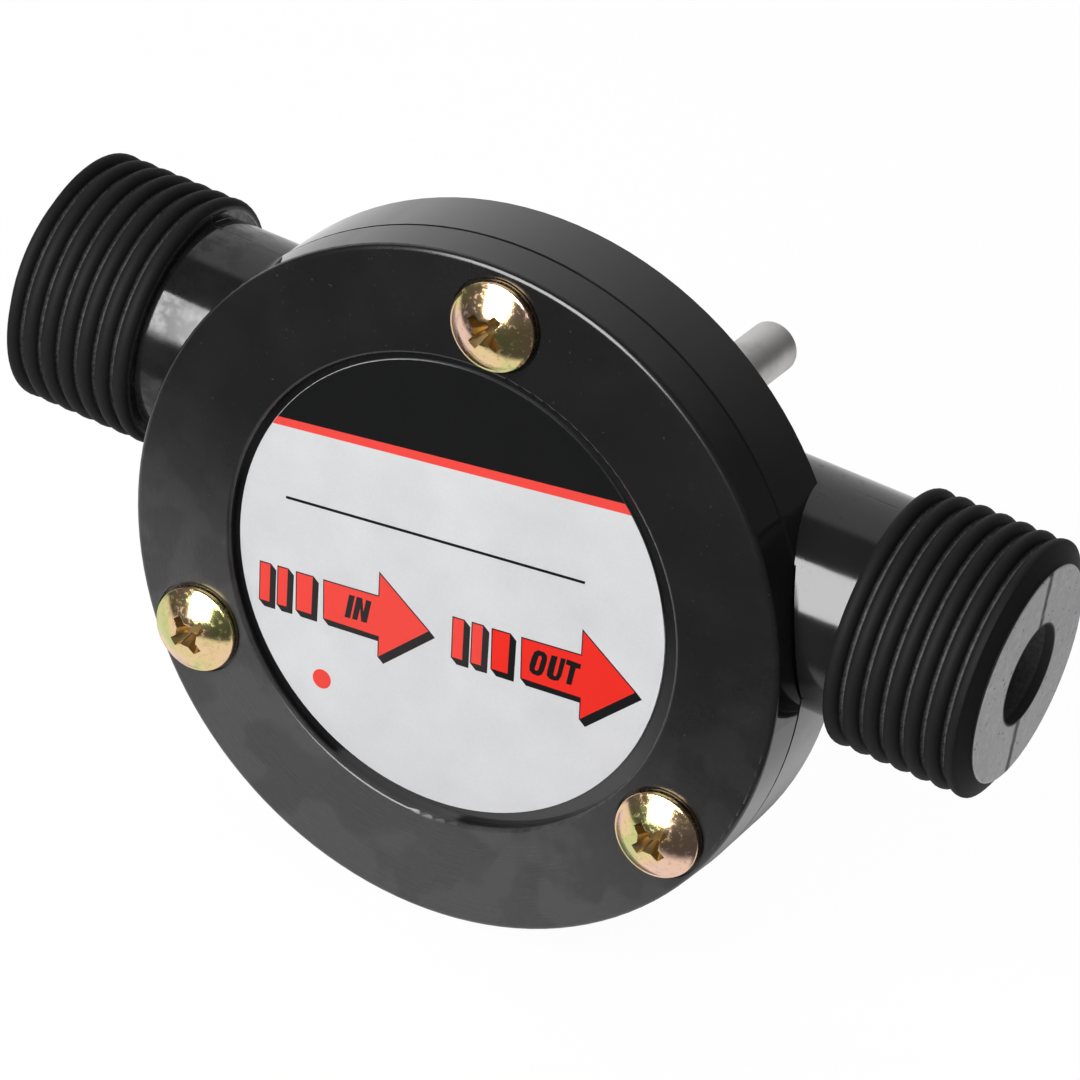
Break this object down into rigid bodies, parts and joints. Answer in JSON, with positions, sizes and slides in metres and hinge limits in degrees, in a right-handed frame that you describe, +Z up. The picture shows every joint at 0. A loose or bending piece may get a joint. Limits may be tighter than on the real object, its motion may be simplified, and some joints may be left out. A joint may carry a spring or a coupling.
{
  "type": "drill powered pump",
  "caption": "Round self-priming liquid pump with hose-threaded ports in line and a plain shaft at the back that a drill turns.",
  "frame": {"origin": "on the shaft axis at the outer face of the retaining ring, where the free length of the shaft begins", "axes": "+X along the ports from inlet to outlet; +Y along the shaft, out of the back; +Z up, the side on which the ports lie above the shaft; the round front face looks towards -Y"},
  "size_m": [0.112, 0.0736, 0.0742],
  "materials": {
    "casing_plastic": "satin",
    "cover_plastic": "satin",
    "seal_rubber": "matte",
    "label_print": "satin",
    "zinc_screw": "yellow zinc, bright",
    "cam_plastic": "satin",
    "stainless": "brushed",
    "bronze": "sintered",
    "spring_steel": "satin",
    "shaft_steel": "ground",
    "hub_brass": "machined",
    "impeller_rubber": "matte"
  },
  "bodies": {
    "casing": {"pump_body": "casing_plastic", "front_cover": "cover_plastic", "cover_seal": "seal_rubber", "label_disc": "label_print", "screw_top": "zinc_screw", "screw_left": "zinc_screw", "screw_right": "zinc_screw", "cam_insert": "cam_plastic", "front_wear_plate": "stainless", "rear_wear_plate": "stainless", "front_bush": "bronze", "rear_bush": "bronze", "lip_seal": "seal_rubber", "seal_spring": "spring_steel"},
    "rotor": {"drive_shaft": "shaft_steel", "impeller_hub": "hub_brass", "impeller": "impeller_rubber", "drive_pin": "shaft_steel", "thrust_washer": "stainless", "retaining_ring": "spring_steel"}
  },
  "joints": [
    {"name": "drive_spin", "type": "hinge", "parent": "casing", "child": "rotor", "pos_m": [0, 0, 0], "axis": [0, -1, 0], "continuous": true, "deforming": ["impeller"]}
  ]
}
